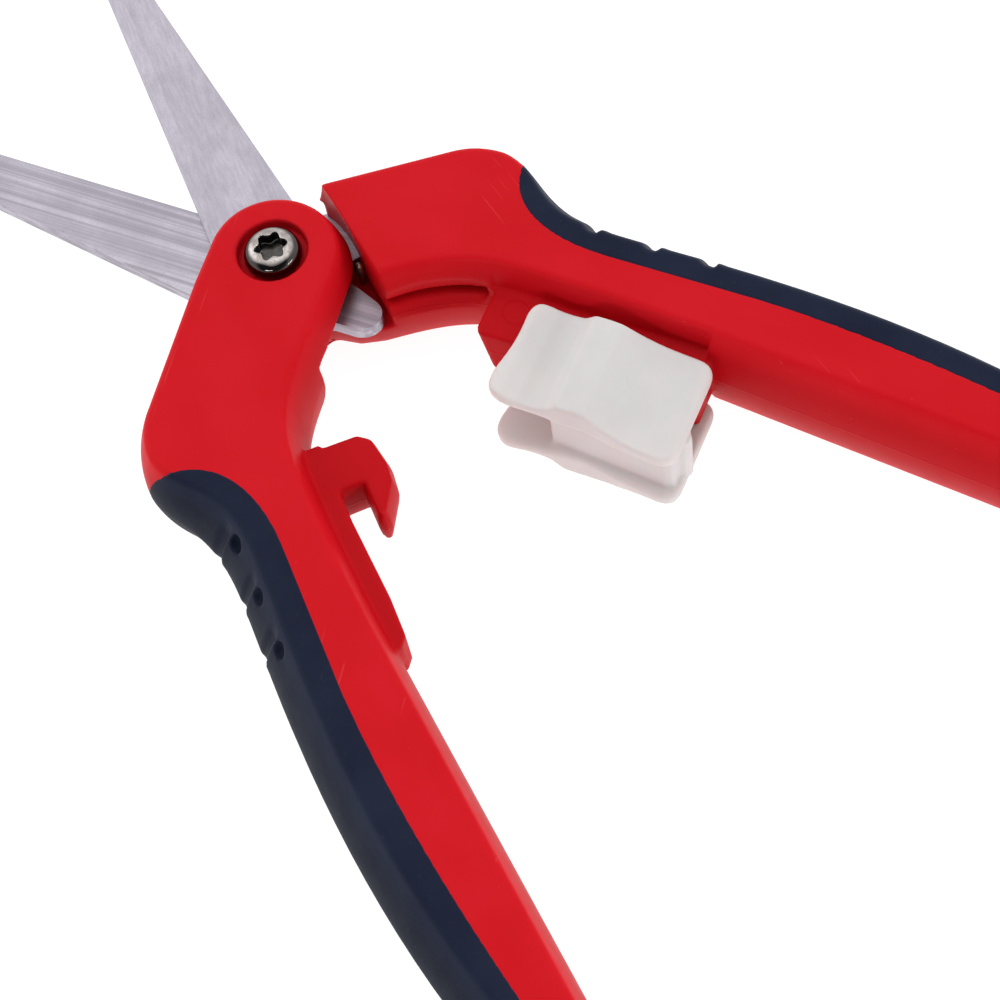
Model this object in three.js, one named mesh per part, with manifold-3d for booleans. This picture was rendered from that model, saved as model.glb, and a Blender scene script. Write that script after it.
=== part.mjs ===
// Floral snips: two moulded handles with soft grips, two crossed steel blades on one pivot screw,
// a return spring round the pivot nut and a sliding latch.
// Millimetres, +Z up. The origin is on the pivot axis, on the closed end face of the nut.
// +X halves the angle between the open handles and points towards their tails.
//
// Each handle is drawn in its own flat frame: x runs from the pivot to the tail, y points to the
// outside of the hand, z = 0 is its own lower face. The right handle is turned into place; the
// left handle is the same frame turned over, so its head lies on top.
import * as THREE from 'three';
import { mergeVertices } from 'three/addons/utils/BufferGeometryUtils.js';
import Module from 'manifold-3d';

const wasm = await Module();
wasm.setup();

// ---- driving dimensions ----
const THICKNESS = 16;            // handle thickness
const HALF_OPENING = 22.63;      // angle from +X to each handle's own x axis, degrees
const SIDE_INSET = 1.9;          // how far the barrelled sides lean in at the two flat faces
const SIDE_CURVE = 1.8;          // power of that curve: the higher, the flatter the middle
const GRIP_INSET = 4.2;          // the same two values for the softer grip
const GRIP_CURVE = 1.5;
const HEAD_TOP = 5.6;            // thickness of a half-lapped head
const LEFT_HEAD_RADIUS = 10;
const RIGHT_HEAD_RADIUS = 8.8;
const BLADE_BOTTOM = 5.8;        // blade layer in the handle's own frame
const BLADE_TOP = 7.9;
const LAP_TOP = 10.4;            // underside of the lobe that faces the other head
const FACE_ANGLE = 51.6;         // direction of the lobe's end face, degrees from the x axis
const FACE_TOP_DISTANCE = 10.1;  // from the pivot to that face, at the top
const CUTTING_EDGE_Y = 6.7;
const BLADE_TIP_X = -80;
const RIGHT_HEEL = 11.9;         // start of the heel's round end; it shows behind the waist
const LEFT_HEEL = 9.4;           // the other heel stays under its handle
const PLATE_BOTTOM = 4.5;        // rail and hook lie in this middle layer
const PLATE_TOP = 11.5;
const SCREW_SEAT_Z = 14.5;
const SHANK_RADIUS = 2.5;
const THREAD_RADIUS = 2.0;
const NUT_HEIGHT = 3.2;
const NUT_CORNER_RADIUS = 4.6;
const WIRE_RADIUS = 0.5;
const COIL_RADIUS = 6.4;
const COIL_PITCH = 1.3;
const FIXED_LEG_ANGLE = 30;      // in the right handle's frame, degrees
const LEG_REACH = 10.4;

const RED = 0xd2232b;
const NAVY = 0x2b3247;
const STEEL = 0xb9b5bf;
const WHITE = 0xe6e4e1;

// ---- helpers ----
const radians = THREE.MathUtils.degToRad;
const polar = (radius, degrees) =>
  new THREE.Vector2(radius * Math.cos(radians(degrees)), radius * Math.sin(radians(degrees)));
const points = (pairs) => pairs.map(([x, y]) => new THREE.Vector2(x, y));

function solid(geometry) {
  const bare = geometry.clone();
  bare.deleteAttribute('normal');
  bare.deleteAttribute('uv');
  const merged = mergeVertices(bare, 1e-4);
  return new wasm.Manifold(new wasm.Mesh({
    numProp: 3,
    vertProperties: new Float32Array(merged.attributes.position.array),
    triVerts: new Uint32Array(merged.index.array),
  }));
}

// Straight prism over a closed outline, from height z0 to z1.
function prism(outline, z0, z1) {
  const shape = new THREE.Shape(outline);
  const geometry = new THREE.ExtrudeGeometry(shape, { depth: z1 - z0, bevelEnabled: false });
  return solid(geometry.translate(0, 0, z0));
}

// Solid through a stack of outlines, lowest first. All of them have the same number of points.
function loft(layers) {
  const count = layers[0].outline.length;
  const corners = layers.flatMap(({ outline, z }) => outline.map((p) => [p.x, p.y, z]));
  const triangles = [];
  const top = (layers.length - 1) * count;
  const middle = layers[Math.floor((layers.length - 1) / 2)].outline;
  for (const [a, b, c] of THREE.ShapeUtils.triangulateShape(middle.slice(), [])) {
    triangles.push(c, b, a, a + top, b + top, c + top);
  }
  for (let low = 0; low < top; low += count) {
    for (let i = 0; i < count; i += 1) {
      const next = (i + 1) % count;
      triangles.push(low + i, low + next, low + next + count);
      triangles.push(low + i, low + next + count, low + i + count);
    }
  }
  const geometry = new THREE.BufferGeometry();
  geometry.setAttribute('position', new THREE.Float32BufferAttribute(corners.flat(), 3));
  geometry.setIndex(triangles);
  return solid(geometry);
}

// Full-height body with bulging sides: the whole outline at mid height, drawn in at both faces.
function barrel(outline, inset, curve) {
  const layers = [-1, -0.82, -0.6, -0.3, 0, 0.3, 0.6, 0.82, 1].map((level) => ({
    outline: grown(outline, -inset * Math.abs(level) ** curve),
    z: (THICKNESS * (1 + level)) / 2,
  }));
  return loft(layers);
}

function cylinder(radius, z0, z1, segments = 48) {
  const geometry = new THREE.CylinderGeometry(radius, radius, z1 - z0, segments);
  return solid(geometry.rotateX(Math.PI / 2).translate(0, 0, (z0 + z1) / 2));
}

// The points along a drawn path, without a repeat of the first one at the end.
function outlineOf(path, divisions) {
  const list = path.getPoints(divisions);
  if (list[0].distanceTo(list[list.length - 1]) < 1e-3) {
    list.pop();
  }
  return list;
}

// Outline moved outwards by distance, for an outline that runs counter-clockwise.
function grown(outline, distance) {
  const count = outline.length;
  return outline.map((here, i) => {
    const before = outline[(i + count - 1) % count];
    const after = outline[(i + 1) % count];
    const into = here.clone().sub(before).normalize();
    const out = after.clone().sub(here).normalize();
    const normal = new THREE.Vector2(into.y + out.y, -into.x - out.x).normalize();
    const stretch = Math.max(normal.dot(new THREE.Vector2(into.y, -into.x)), 0.5);
    return here.clone().addScaledVector(normal, distance / stretch);
  });
}

// ---- outlines in the handle's own frame ----
function innerSide(path) {
  path.bezierCurveTo(20, 3.2, 24, 6.2, 31, 6.2);
  path.bezierCurveTo(40, 6.2, 49, 5.8, 58.7, 4.9);
  path.lineTo(110, 0.35);
}

function tailAndOuterSide(path) {
  path.bezierCurveTo(114, 0.1, 116.9, 1.6, 117.3, 4.6);
  path.bezierCurveTo(117.7, 7.8, 115.9, 10.3, 112, 11);
  path.bezierCurveTo(98, 16.6, 80, 19.5, 62, 20);
  path.bezierCurveTo(54, 20.3, 47, 20, 41, 20.1);
  path.bezierCurveTo(36, 20.2, 32, 21.2, 28.5, 23.3);
  path.bezierCurveTo(26.6, 24.4, 24.8, 25.6, 22.5, 25.9);
  path.bezierCurveTo(19, 26.3, 16.5, 25.2, 14.2, 23.2);
  path.lineTo(-1, 12.05);
}

function headArc(path, radius, endDegrees) {
  path.absarc(0, 0, radius, radians(127.8), radians(endDegrees), false);
}

// The left handle's flank is tangent to its round head.
function leftOutline() {
  const path = new THREE.Shape();
  const start = polar(LEFT_HEAD_RADIUS, -57.4);
  path.moveTo(start.x, start.y);
  path.lineTo(14, -1.8);
  innerSide(path);
  tailAndOuterSide(path);
  headArc(path, LEFT_HEAD_RADIUS, 302.6);
  return outlineOf(path, 8);
}

// The right handle has a waist behind its head, under the steel heel.
function rightOutline() {
  const path = new THREE.Shape();
  const start = polar(RIGHT_HEAD_RADIUS, -20.7);
  path.moveTo(start.x, start.y);
  path.lineTo(11.2, -2.7);
  path.lineTo(14.6, -0.9);
  innerSide(path);
  tailAndOuterSide(path);
  headArc(path, RIGHT_HEAD_RADIUS, 339.3);
  return outlineOf(path, 8);
}

// Outer band of the handle that the soft grip fills. shift moves the dividing line outwards.
function gripRegion(shift) {
  const path = new THREE.Shape();
  path.moveTo(25.6 + shift, 32);
  path.lineTo(25.9 + shift, 23);
  path.bezierCurveTo(26.4 + shift, 17.4 + shift, 32, 13.1 + shift, 43, 13.1 + shift);
  path.lineTo(62, 13.0 + shift);
  path.bezierCurveTo(78, 12.4 + shift, 96, 9.5 + shift, 113, 5.6 + shift);
  path.lineTo(122, 3.6 + shift);
  path.lineTo(122, 32);
  return outlineOf(path, 8);
}

// Rib of the hard handle that the grip is moulded round.
const gripRib = points([[30, 12], [64, 11.5], [108, 4.8], [107, 8.6], [90, 13.4], [62, 16.6], [36, 17.0], [30, 18.6]]);

// The lobe's tip overhangs the layers below it outside this corner.
const lipUndercut = points([[14.2, 23.2], [4, 32], [-14, 13], [-5.4, 6.95]]);

// Crease along the right handle's inner side, under the lobe.
const slotOutline = points([[10, -8], [27.2, -8], [27.2, 7], [21.6, 5.4], [17.6, 3], [14, -0.2], [10, -3]]);

// Steps above and below the middle layer, where the latch plates run.
const rightStep = points([[27.5, -12], [57.5, -12], [57.5, 7], [27.5, 7.2]]);
const leftStep = points([[27.5, -12], [53.2, -12], [53.2, 3.4], [55.4, 6.3], [48, 7.5], [27.5, 7.5]]);

// One blade: pointed blade, pivot land, rounded heel, notch for the spring and tang.
function bladeOutline(heel) {
  const path = new THREE.Shape();
  path.moveTo(BLADE_TIP_X, CUTTING_EDGE_Y - 0.5);
  path.quadraticCurveTo(-74, 3.7, -66, 2.7);
  path.lineTo(-9, -5.7);
  path.bezierCurveTo(-4, -7.2, 3, -7.8, 6, -5.4);
  path.quadraticCurveTo(7.4, -3.2, 9, -3.1);
  path.lineTo(heel, -3.1);
  path.bezierCurveTo(heel + 2.9, -2.6, heel + 3.4, 0.6, heel + 1, 1.6);
  path.lineTo(8.6, 3.2);
  path.bezierCurveTo(6.6, 4.2, 6.4, 6.2, 8.2, 7.8);
  path.lineTo(12, 9.4);
  path.bezierCurveTo(17, 11.5, 20.5, 15, 20, 18.5);
  path.bezierCurveTo(19, 21.8, 15.5, 22.3, 12.5, 20.2);
  path.lineTo(1.5, 12.9);
  path.lineTo(-6.4, 6.9);
  path.lineTo(-9, CUTTING_EDGE_Y);
  path.lineTo(-79.2, CUTTING_EDGE_Y);
  return outlineOf(path, 10);
}

// ---- handles ----
// Everything on the pivot side of the lobe's end face, above the half-lapped head. The face is
// hollow at its foot, where its corner reaches towards the head, and nearly straight at the top.
function headClearance() {
  const normal = polar(1, FACE_ANGLE);
  const along = new THREE.Vector2(-normal.y, normal.x);
  const foot = [[-26, 9.8], [-9, 10.1], [-3, 10.7], [2, 10.9], [5, 10.5], [8.2, 9.5], [26, 8.6]];
  const area = (share) => {
    const face = foot.map(([side, out]) => [side, out + (FACE_TOP_DISTANCE - out) * share]);
    return [[-26, -30], ...face, [26, -30]].map(([side, out]) =>
      normal.clone().multiplyScalar(out).addScaledVector(along, side));
  };
  return loft([
    { outline: area(0), z: HEAD_TOP },
    { outline: area(0), z: LAP_TOP },
    { outline: area(1), z: THICKNESS },
    { outline: area(1), z: THICKNESS + 1 },
  ]);
}

function handleBody(outline, heel, step) {
  let body = barrel(outline, SIDE_INSET, SIDE_CURVE);
  body = body.subtract(headClearance());
  body = body.subtract(prism(lipUndercut, -1, LAP_TOP));
  const tang = prism(grown(bladeOutline(heel), 0.3), BLADE_BOTTOM - 0.25, BLADE_TOP + 0.25);
  body = body.subtract(tang);
  body = body.subtract(prism(step, PLATE_TOP, THICKNESS + 1));
  body = body.subtract(prism(step, -1, PLATE_BOTTOM));
  body = body.subtract(prism(gripRegion(-0.15), -1, THICKNESS + 1));
  return body.add(prism(gripRib, 4.6, 11.4));
}

// Soft outer band with three finger notches, each with a dimple above its end.
function grip(outline, notches) {
  let skin = barrel(outline, GRIP_INSET, GRIP_CURVE);
  const core = barrel(grown(outline, -0.6), GRIP_INSET, GRIP_CURVE);
  for (const x of notches) {
    const band = prism(points([[x - 1.9, 14], [x, 14], [x, 26], [x - 1.6, 26]]), -1, THICKNESS + 1);
    skin = skin.subtract(band.subtract(core));
    const dimple = new THREE.SphereGeometry(1.1, 12, 8).translate(x + 4, 16.9, 0.55);
    skin = skin.subtract(solid(dimple));
  }
  skin = skin.intersect(prism(gripRegion(0.15), -1, THICKNESS + 1));
  return skin.subtract(prism(grown(gripRib, 0.25), 4.35, 11.65));
}

function rightHandle() {
  const rail = points([[28, 9], [28, 0.6], [28.8, -0.3], [40, -0.2], [57.5, 0.3], [57.5, 9]]);
  let body = handleBody(rightOutline(), RIGHT_HEEL, rightStep).add(prism(rail, PLATE_BOTTOM, PLATE_TOP));
  body = body.subtract(loft([
    { outline: grown(slotOutline, -1.2), z: 8 },
    { outline: slotOutline, z: LAP_TOP },
    { outline: grown(slotOutline, -1.6), z: THICKNESS + 0.5 },
  ]));
  const groove = points([[37.6, 1.8], [54.4, 1.8], [54.4, 4.2], [37.6, 4.2]]);
  body = body.subtract(prism(groove, PLATE_TOP - 1.5, PLATE_TOP + 1));
  body = body.subtract(prism(groove, PLATE_BOTTOM - 1, PLATE_BOTTOM + 1.5));
  body = body.subtract(cylinder(SHANK_RADIUS + 0.2, -1, HEAD_TOP + 1));
  body = body.subtract(cylinder(NUT_CORNER_RADIUS + 0.3, -1, NUT_HEIGHT + 0.3, 6));
  // Round groove for the coil, a slit for its fixed leg and a window for the moving one.
  const groovePlug = cylinder(COIL_RADIUS + 0.95, 1, HEAD_TOP + 1);
  body = body.subtract(groovePlug.subtract(cylinder(COIL_RADIUS - 0.95, 0, HEAD_TOP + 2)));
  const slit = new THREE.BoxGeometry(LEG_REACH + 1 - COIL_RADIUS, 1.7, 6);
  slit.translate((LEG_REACH + 1 + COIL_RADIUS) / 2, 0, 4).rotateZ(radians(FIXED_LEG_ANGLE));
  body = body.subtract(solid(slit));
  const sweep = [polar(5.8, -82)];
  for (let angle = -82; angle <= -30; angle += 4) {
    sweep.push(polar(12, angle));
  }
  sweep.push(polar(5.8, -30));
  return body.subtract(prism(sweep, 4.1, HEAD_TOP + 1));
}

function leftHandle() {
  const wall = points([[27, 9], [27, 4], [34.6, 4], [39, 4], [50.4, 3.4], [55.9, 3.5], [57.2, 4.5], [57.5, 9]]);
  const finger = points([[27, 6], [27.3, -0.9], [28.7, -2.5], [33, -3.2], [35.6, -2.9], [39.7, -0.5],
    [40.1, 0.4], [39.4, 1.1], [34.8, 1.1], [34.8, 6]]);
  let body = handleBody(leftOutline(), LEFT_HEEL, leftStep).add(prism(wall, PLATE_BOTTOM, PLATE_TOP));
  body = body.add(prism(finger, PLATE_BOTTOM, PLATE_TOP));
  body = body.subtract(cylinder(SHANK_RADIUS + 0.2, -1, HEAD_TOP + 1));
  return body.subtract(cylinder(4.65, -1, THICKNESS - SCREW_SEAT_Z + 0.1));
}

// ---- steel ----
function blade(heel) {
  let plate = prism(bladeOutline(heel), BLADE_BOTTOM, BLADE_TOP);
  plate = plate.subtract(cylinder(SHANK_RADIUS + 0.15, 0, THICKNESS));
  // Ground bevel on the outer side, from the tip to just under the head.
  const bevel = new THREE.Shape(points([[-0.1, -0.3], [2.3, -0.3], [-0.1, 1.7]]));
  const wedge = new THREE.ExtrudeGeometry(bevel, { depth: 78.5, bevelEnabled: false });
  const axes = new THREE.Matrix4().makeBasis(
    new THREE.Vector3(0, -1, 0), new THREE.Vector3(0, 0, 1), new THREE.Vector3(-1, 0, 0));
  wedge.applyMatrix4(axes).translate(-6.5, CUTTING_EDGE_Y, BLADE_BOTTOM);
  return plate.subtract(solid(wedge));
}

function pivotScrew() {
  const profile = points([[0, 17], [2.4, 16.93], [3, 16.7], [3.4, 16.35], [3.7, 15.8], [3.8, 15.2],
    [3.8, 14.8], [3.6, SCREW_SEAT_Z], [SHANK_RADIUS, SCREW_SEAT_Z], [SHANK_RADIUS, 3.8], [THREAD_RADIUS, 3.5],
    [THREAD_RADIUS, 1.3], [1.7, 1.0], [0, 1.0]]);
  const screw = solid(new THREE.LatheGeometry(profile.reverse(), 48).rotateX(Math.PI / 2));
  const lobes = [];
  for (let i = 0; i < 48; i += 1) {
    const angle = i * 7.5;
    lobes.push(polar(1.92 + 0.28 * Math.cos(radians(6 * angle)), angle));
  }
  return screw.subtract(prism(lobes, 15.3, 18));
}

function pivotNut() {
  const outer = cylinder(NUT_CORNER_RADIUS, 0, NUT_HEIGHT, 6);
  return outer.subtract(cylinder(THREAD_RADIUS + 0.2, 0.8, NUT_HEIGHT + 1));
}

// ---- spring ----
class CoilPath extends THREE.Curve {
  constructor(startDegrees, turnDegrees, startZ) {
    super();
    this.startDegrees = startDegrees;
    this.turnDegrees = turnDegrees;
    this.startZ = startZ;
  }

  getPoint(t, target = new THREE.Vector3()) {
    const angle = this.startDegrees + t * this.turnDegrees;
    const flat = polar(COIL_RADIUS, angle);
    return target.set(flat.x, flat.y, this.startZ + (t * this.turnDegrees * COIL_PITCH) / 360);
  }
}

function wire(path, steps) {
  const section = new THREE.Shape();
  for (let i = 0; i < 10; i += 1) {
    const corner = polar(WIRE_RADIUS, i * 36);
    if (i === 0) {
      section.moveTo(corner.x, corner.y);
    } else {
      section.lineTo(corner.x, corner.y);
    }
  }
  return solid(new THREE.ExtrudeGeometry(section, { steps, extrudePath: path, bevelEnabled: false }));
}

function ball(center) {
  return solid(new THREE.SphereGeometry(WIRE_RADIUS * 1.02, 12, 10).translate(center.x, center.y, center.z));
}

// A leg: out from the coil at one height, then up to the notch of its blade.
function springLeg(degrees, z, topZ, innerRadius) {
  const inner = polar(innerRadius, degrees);
  const outer = polar(LEG_REACH, degrees);
  const start = new THREE.Vector3(inner.x, inner.y, z);
  const bend = new THREE.Vector3(outer.x, outer.y, z);
  const end = new THREE.Vector3(outer.x, outer.y, topZ);
  return wire(new THREE.LineCurve3(start, bend), 1)
    .add(ball(bend))
    .add(wire(new THREE.LineCurve3(bend, end), 1));
}

const COIL_START_Z = 1.65;
const MOVING_LEG_ANGLE = -2 * HALF_OPENING - FIXED_LEG_ANGLE;
const COIL_TURN = 360 * 3 + MOVING_LEG_ANGLE - FIXED_LEG_ANGLE - 6;
const COIL_END_Z = COIL_START_Z + (COIL_TURN * COIL_PITCH) / 360;

function springCoil() {
  const coil = wire(new CoilPath(FIXED_LEG_ANGLE, COIL_TURN, COIL_START_Z), 60);
  const first = polar(COIL_RADIUS, FIXED_LEG_ANGLE);
  return coil
    .add(ball(new THREE.Vector3(first.x, first.y, COIL_START_Z)))
    .add(springLeg(FIXED_LEG_ANGLE, COIL_START_Z, 9.4, COIL_RADIUS));
}

// ---- latch ----
// Both thumb plates, the outer web that joins them and the ribs that ride in the rail.
function latch() {
  const side = new THREE.Shape();
  side.moveTo(32.6, 13.2);
  side.quadraticCurveTo(33.2, 14.8, 35.4, 14.7);
  side.quadraticCurveTo(38.6, 13.4, 41.4, 14.3);
  side.lineTo(43, 15.7);
  side.quadraticCurveTo(45, 16.1, 47, 15.8);
  side.lineTo(49.2, 14.8);
  side.quadraticCurveTo(53.5, 13.5, 58.6, 13.8);
  side.quadraticCurveTo(59.6, 13.4, 59.4, 12.4);
  side.lineTo(58.9, 11.8);
  side.lineTo(42.6, 11.8);
  side.quadraticCurveTo(41.4, 12.4, 39.6, 12.4);
  side.lineTo(33.6, 12.7);
  const profile = new THREE.ExtrudeGeometry(side, { depth: 20, bevelEnabled: false, curveSegments: 5 });
  profile.rotateX(Math.PI / 2).translate(0, 7, 0);

  const plan = new THREE.Shape();
  plan.moveTo(36.6, -9.8);
  plan.lineTo(46.5, -9.7);
  plan.quadraticCurveTo(49, -10.2, 51, -10.6);
  plan.lineTo(56.4, -11.2);
  plan.quadraticCurveTo(59.1, -11.4, 59.2, -8.7);
  plan.lineTo(59.4, 1.2);
  plan.quadraticCurveTo(59.4, 3.8, 56.6, 4);
  plan.lineTo(36.9, 5);
  plan.quadraticCurveTo(34.3, 5, 34.4, 2.3);
  plan.quadraticCurveTo(34.7, -1.6, 33.6, -5.2);
  plan.quadraticCurveTo(32.4, -9.6, 36.6, -9.8);
  const footprint = outlineOf(plan, 5);
  const upper = solid(profile).intersect(prism(footprint, 11, 17));

  const lowerProfile = profile.clone().rotateX(Math.PI).translate(0, 0, THICKNESS);
  lowerProfile.translate(0, -6, 0);
  const lower = solid(lowerProfile).intersect(prism(footprint, -1, 5));

  const webOutline = points([[41.2, -7.9], [41.8, -8.3], [57.2, -9.6], [58.2, -9.2], [58.6, -6.6], [57.9, -5.2],
    [56.4, -5], [54.6, -5.6], [53, -7.1], [41.5, -7.1]]);
  let whole = upper.add(lower).add(prism(webOutline, 3.9, 12.1));
  const rib = points([[44, 2.2], [54, 2.2], [54, 3.8], [44, 3.8]]);
  whole = whole.add(prism(rib, PLATE_TOP - 1.1, 12.2));
  return whole.add(prism(rib, 3.8, PLATE_BOTTOM + 1.1));
}

// ---- assembly ----
function inRightHandle(geometry) {
  return geometry.rotateZ(radians(HALF_OPENING));
}

function inLeftHandle(geometry) {
  return geometry.rotateX(Math.PI).translate(0, 0, THICKNESS).rotateZ(radians(-HALF_OPENING));
}

function asIs(geometry) {
  return geometry;
}

function piece(name, manifold, place, color, roughness, metalness) {
  const mesh = manifold.getMesh();
  const geometry = new THREE.BufferGeometry();
  geometry.setAttribute('position', new THREE.BufferAttribute(new Float32Array(mesh.vertProperties), 3));
  geometry.setIndex(new THREE.BufferAttribute(new Uint32Array(mesh.triVerts), 1));
  place(geometry);
  geometry.computeVertexNormals();
  const node = new THREE.Mesh(geometry, new THREE.MeshStandardMaterial({ color, roughness, metalness }));
  node.name = name;
  return node;
}

const snips = new THREE.Group();
snips.name = 'floral_snips';
snips.add(
  piece('right_handle', rightHandle(), inRightHandle, RED, 0.45, 0),
  piece('right_grip', grip(rightOutline(), [37.4, 45.6, 53.3]), inRightHandle, NAVY, 0.7, 0),
  piece('right_blade', blade(RIGHT_HEEL), inRightHandle, STEEL, 0.35, 1),
  piece('left_handle', leftHandle(), inLeftHandle, RED, 0.45, 0),
  piece('left_grip', grip(leftOutline(), [34.3, 42.1, 49.8]), inLeftHandle, NAVY, 0.7, 0),
  piece('left_blade', blade(LEFT_HEEL), inLeftHandle, STEEL, 0.35, 1),
  piece('pivot_screw', pivotScrew(), asIs, STEEL, 0.15, 1),
  piece('pivot_nut', pivotNut(), inRightHandle, STEEL, 0.3, 1),
  piece('spring_coil', springCoil(), inRightHandle, STEEL, 0.3, 1),
  piece('spring_leg', springLeg(MOVING_LEG_ANGLE, COIL_END_Z, 9.6, COIL_RADIUS), inRightHandle, STEEL, 0.3, 1),
  piece('latch', latch(), inRightHandle, WHITE, 0.5, 0),
);

export default snips;
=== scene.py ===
"""Floral snips: the looks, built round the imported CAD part.

Each moulded piece is meshed from a distance field. Flat outlines, height profiles and rounded
joins are combined on a grid, and the zero level becomes the surface. Fields are in millimetres
in a handle's own flat frame: x from the pivot to the tail, y to the outside of the hand and
z up from its own lower face. The left handle is that frame turned over.
"""

import math

import bpy
import numpy as np
from mathutils import Matrix, Quaternion, Vector


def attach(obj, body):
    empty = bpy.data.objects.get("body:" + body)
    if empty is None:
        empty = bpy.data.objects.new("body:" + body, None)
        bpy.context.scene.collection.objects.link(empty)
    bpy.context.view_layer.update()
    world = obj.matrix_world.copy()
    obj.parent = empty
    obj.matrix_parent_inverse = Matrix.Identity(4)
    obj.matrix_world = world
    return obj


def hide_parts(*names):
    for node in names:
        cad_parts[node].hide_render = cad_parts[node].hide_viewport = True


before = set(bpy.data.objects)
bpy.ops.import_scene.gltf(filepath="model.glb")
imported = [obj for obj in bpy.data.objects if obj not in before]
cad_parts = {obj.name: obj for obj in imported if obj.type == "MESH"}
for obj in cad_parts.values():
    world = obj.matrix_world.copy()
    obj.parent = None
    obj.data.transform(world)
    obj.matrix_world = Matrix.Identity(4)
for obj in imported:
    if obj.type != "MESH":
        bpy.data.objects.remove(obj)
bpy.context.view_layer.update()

MM = 0.001
THICKNESS = 16.0
HALF_OPENING = 22.63  # degrees from +X to each handle's own x axis
HEAD_TOP = 5.6  # thickness of a half-lapped head
LAP_TOP = 10.4  # underside of the lobe that faces the other head
PLATE_BOTTOM, PLATE_TOP = 4.5, 11.5  # layer of the rail and the hook
SEAT_DEPTH = 1.6  # counterbore of the screw
SIDE_INSET, SIDE_CURVE = 1.9, 1.8  # how far, and how roundly, the hard flanks draw in
GRIP_INSET, GRIP_CURVE = 3.75, 1.5  # the same for the soft grips
GRIP_SHIFT = 0.6  # the hard handle's seat for the grip lies this far behind the grip's edge
GRIP_PROUD = 0.05
DIMPLE_PLACE, DIMPLE_RADIUS = (2.8, 18.2), 1.2  # x past the notch, y
FACE_ANGLE, FACE_TOP_DISTANCE = 51.6, 10.1  # end face of a lobe, as seen from the pivot
RIGHT_GRIP = {
    "notches": (37.4, 45.6, 53.3),
    "depth": 0.7,
    "width": 2.2,
    "fade_end": 1.4,
    "dimple_heights": (),
}
LEFT_GRIP = {
    "notches": (34.3, 42.1, 49.8),
    "depth": 0.35,
    "width": 1.6,
    "fade_end": 0.85,
    "dimple_heights": (2.3,),
}
COIL_RADIUS, COIL_PITCH, WIRE_RADIUS = 6.4, 1.3, 0.5
COIL_START_Z, LEG_REACH = 1.65, 10.4
FIXED_LEG_ANGLE = 30.0
MOVING_LEG_ANGLE = -2 * HALF_OPENING - FIXED_LEG_ANGLE
COIL_TURN = 3 * 360 + MOVING_LEG_ANGLE - FIXED_LEG_ANGLE - 6
COIL_END_Z = COIL_START_Z + COIL_TURN * COIL_PITCH / 360

RIGHT = Matrix.Rotation(math.radians(HALF_OPENING), 4, "Z")
LEFT = (
    Matrix.Rotation(math.radians(-HALF_OPENING), 4, "Z")
    @ Matrix.Translation((0, 0, THICKNESS))
    @ Matrix.Rotation(math.pi, 4, "X")
)


# ---- distance fields ----
def polar(radius, degrees):
    angle = math.radians(degrees)
    return (radius * math.cos(angle), radius * math.sin(angle))


def arc(radius, start, end, steps=40):
    return [polar(radius, start + (end - start) * i / steps) for i in range(steps + 1)]


def path(start, *moves, steps=14):
    """Outline through lines (two numbers), quadratic (four) and cubic (six) curves."""
    line = [tuple(start)]
    for move in moves:
        controls = np.vstack([line[-1], np.reshape(move, (-1, 2))])
        count = 1 if len(controls) == 2 else steps
        for i in range(1, count + 1):
            t = i / count
            level = controls
            while len(level) > 1:
                level = level[:-1] * (1 - t) + level[1:] * t
            line.append(tuple(level[0]))
    return line


def outline_distance(px, py, outline):
    """Signed distance to a closed outline, negative inside."""
    nearest = np.full(np.broadcast(px, py).shape, 1e9)
    inside = np.zeros(nearest.shape, bool)
    ends = outline[1:] + outline[:1]
    for (ax, ay), (bx, by) in zip(outline, ends):
        dx, dy = bx - ax, by - ay
        length = dx * dx + dy * dy
        if length < 1e-12:
            continue
        t = np.clip(((px - ax) * dx + (py - ay) * dy) / length, 0, 1)
        nearest = np.minimum(nearest, (px - ax - t * dx) ** 2 + (py - ay - t * dy) ** 2)
        slope = dx / (dy or 1.0)
        inside ^= ((ay > py) != (by > py)) & (px < slope * (py - ay) + ax)
    return np.where(inside, -1, 1) * np.sqrt(nearest)


class Grid:
    """A box of sample points, in millimetres."""

    def __init__(self, low, high, step):
        self.low = np.array(low, float)
        self.step = step
        counts = np.ceil((np.array(high) - self.low) / step).astype(int) + 1
        lines = [self.low[i] + step * np.arange(counts[i]) for i in range(3)]
        self.x = lines[0][:, None, None]
        self.y = lines[1][None, :, None]
        self.z = lines[2][None, None, :]

    def plan(self, outline):
        """Distance to an outline seen from above."""
        return outline_distance(self.x[:, :, 0], self.y[:, :, 0], outline)[:, :, None]

    def side(self, outline):
        """Distance to an outline seen from the side."""
        return outline_distance(self.x[:, 0, :], self.z[:, 0, :], outline)[:, None, :]

    def slab(self, z0, z1):
        return np.maximum(z0 - self.z, self.z - z1)

    def prism(self, outline, z0, z1, rounding):
        return meet(self.plan(outline), self.slab(z0, z1), rounding)

    def rod(self, radius, z0, z1, rounding):
        return meet(np.hypot(self.x, self.y) - radius, self.slab(z0, z1), rounding)


def meet(a, b, rounding):
    """Where both are, with the edge rounded."""
    corner = np.hypot(np.maximum(a + rounding, 0), np.maximum(b + rounding, 0))
    return np.minimum(np.maximum(a, b), -rounding) + corner


def join(a, b, rounding):
    """Where either is, with a fillet between them."""
    corner = np.hypot(np.maximum(rounding - a, 0), np.maximum(rounding - b, 0))
    return np.maximum(np.minimum(a, b), rounding) - corner


def cut(a, b, rounding):
    return meet(a, -b, rounding)


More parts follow.
